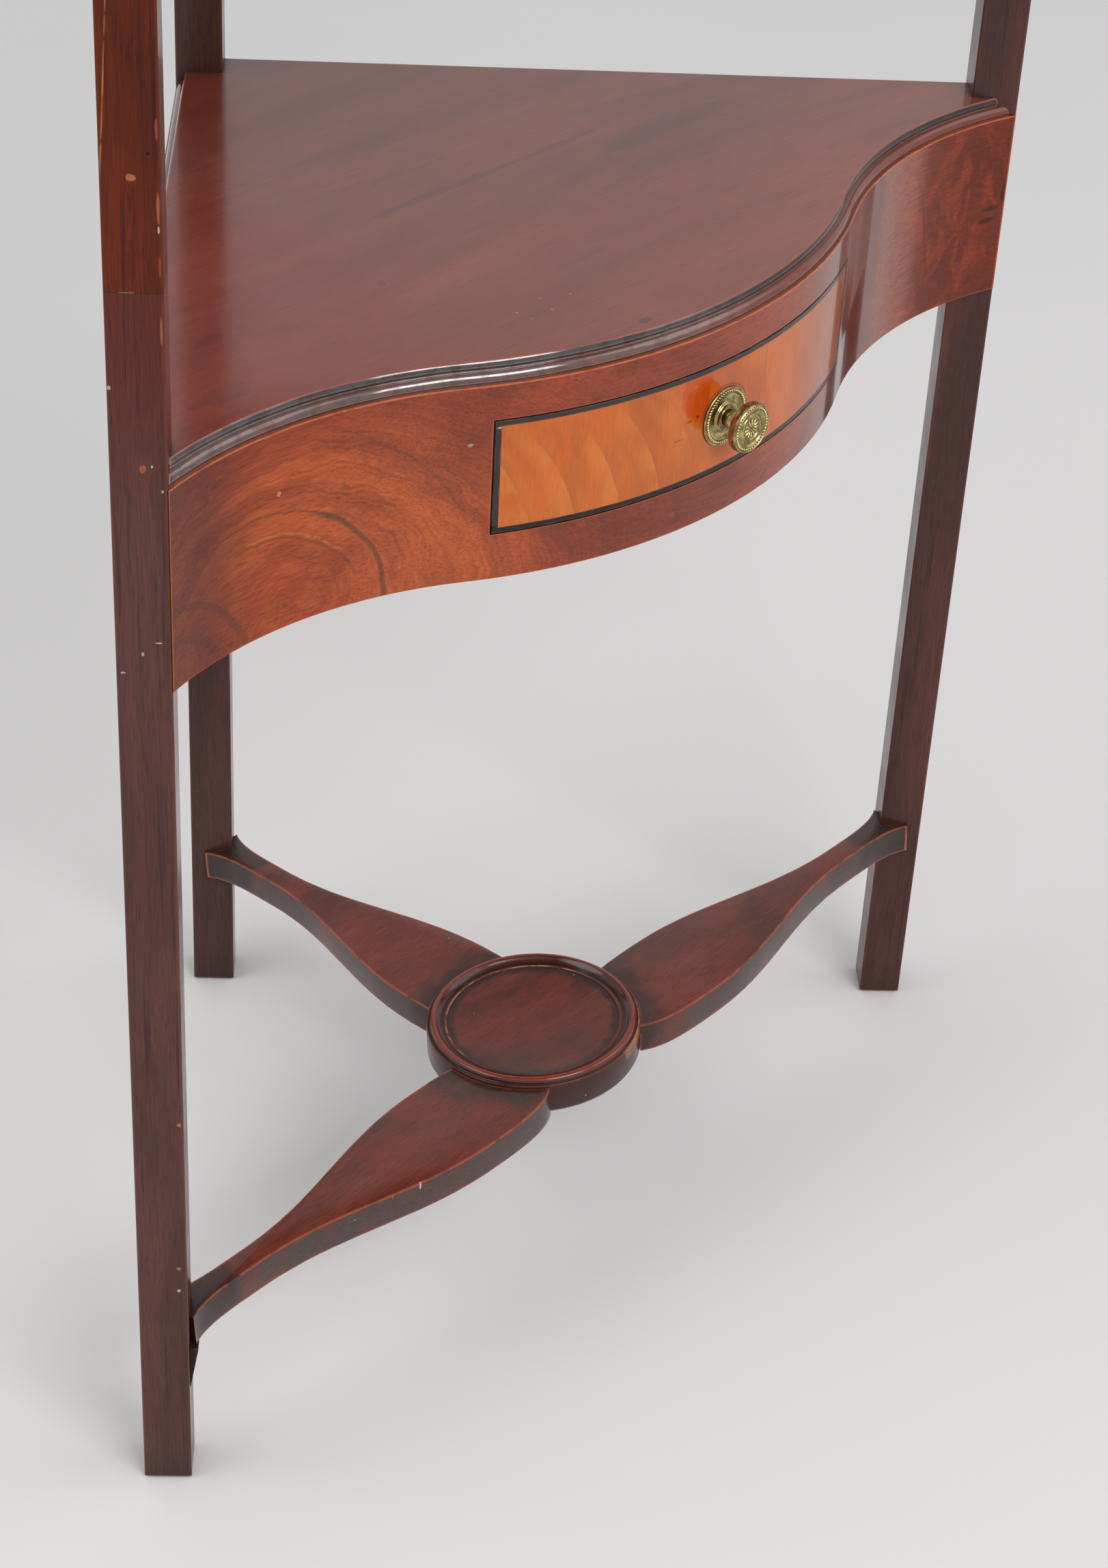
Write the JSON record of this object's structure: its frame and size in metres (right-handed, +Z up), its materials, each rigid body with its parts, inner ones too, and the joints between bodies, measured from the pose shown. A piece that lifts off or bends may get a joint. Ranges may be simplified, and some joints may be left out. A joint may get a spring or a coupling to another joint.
{
  "type": "corner washstand",
  "caption": "Corner washstand with square legs, leaf-armed stretcher and dish, bow-fronted drawer tier and pierced top",
  "frame": {"origin": "on the floor, under the middle of the bounding box", "axes": "+Z up; -Y out of the bowed front, the way the drawer opens; +X to the right seen from the front"},
  "size_m": [0.6222, 0.403, 1.084],
  "materials": {
    "leg_mahogany": "worn dark mahogany, satin",
    "leg_repair_mahogany": "warmer mahogany of a spliced-on length, satin",
    "rail_mahogany": "mahogany, satin",
    "shelf_mahogany": "polished mahogany",
    "frieze_core": "mahogany and oak ground, unpolished",
    "frieze_veneer": "flame mahogany veneer, polished",
    "drawer_veneer": "lighter mahogany veneer, polished",
    "stringing": "black-dyed line inlay",
    "drawer_lining": "plain oak, unpolished",
    "softwood": "plain pine, unpolished",
    "hardwood": "plain hardwood",
    "stretcher_mahogany": "worn mahogany, satin",
    "wedge_wood": "blackened wood",
    "gallery_mahogany": "mahogany, satin",
    "brass": "stamped and turned, slightly tarnished"
  },
  "bodies": {
    "stand": {"leg_back": "leg_mahogany", "leg_right": "leg_mahogany", "leg_left_lower": "leg_mahogany", "leg_left_upper": "leg_repair_mahogany", "leg_splice_dowel": "hardwood", "rail_left": "rail_mahogany", "rail_right": "rail_mahogany", "top_rail_left": "rail_mahogany", "top_rail_right": "rail_mahogany", "shelf_board": "shelf_mahogany", "frieze_left": "frieze_core", "frieze_right": "frieze_core", "frieze_rail_lower": "frieze_core", "frieze_rail_upper": "frieze_core", "frieze_veneer": "frieze_veneer", "stretcher_arm_back": "stretcher_mahogany", "stretcher_arm_left": "stretcher_mahogany", "stretcher_arm_right": "stretcher_mahogany", "stretcher_dish": "stretcher_mahogany", "stretcher_dowels": "hardwood", "stretcher_wedge": "wedge_wood", "drawer_runner_left": "softwood", "drawer_runner_right": "softwood", "drawer_guide_left": "softwood", "drawer_guide_right": "softwood", "drawer_kicker_left": "softwood", "drawer_kicker_right": "softwood", "drawer_stops": "softwood", "top_board": "shelf_mahogany", "top_frieze": "frieze_core", "top_frieze_veneer": "frieze_veneer", "gallery_left": "gallery_mahogany", "gallery_right": "gallery_mahogany", "shelf_glue_blocks": "softwood", "top_glue_blocks": "softwood"},
    "drawer": {"drawer_front": "frieze_core", "drawer_front_veneer": "drawer_veneer", "drawer_stringing": "stringing", "drawer_side_left": "drawer_lining", "drawer_side_right": "drawer_lining", "drawer_back": "drawer_lining", "drawer_bottom": "drawer_lining", "knob_backplate": "brass", "knob": "brass", "knob_nut": "brass"}
  },
  "joints": [
    {"name": "drawer_slide", "type": "slide", "parent": "stand", "child": "drawer", "axis": [0, -1, 0], "range_m": [0, 0.14]}
  ]
}
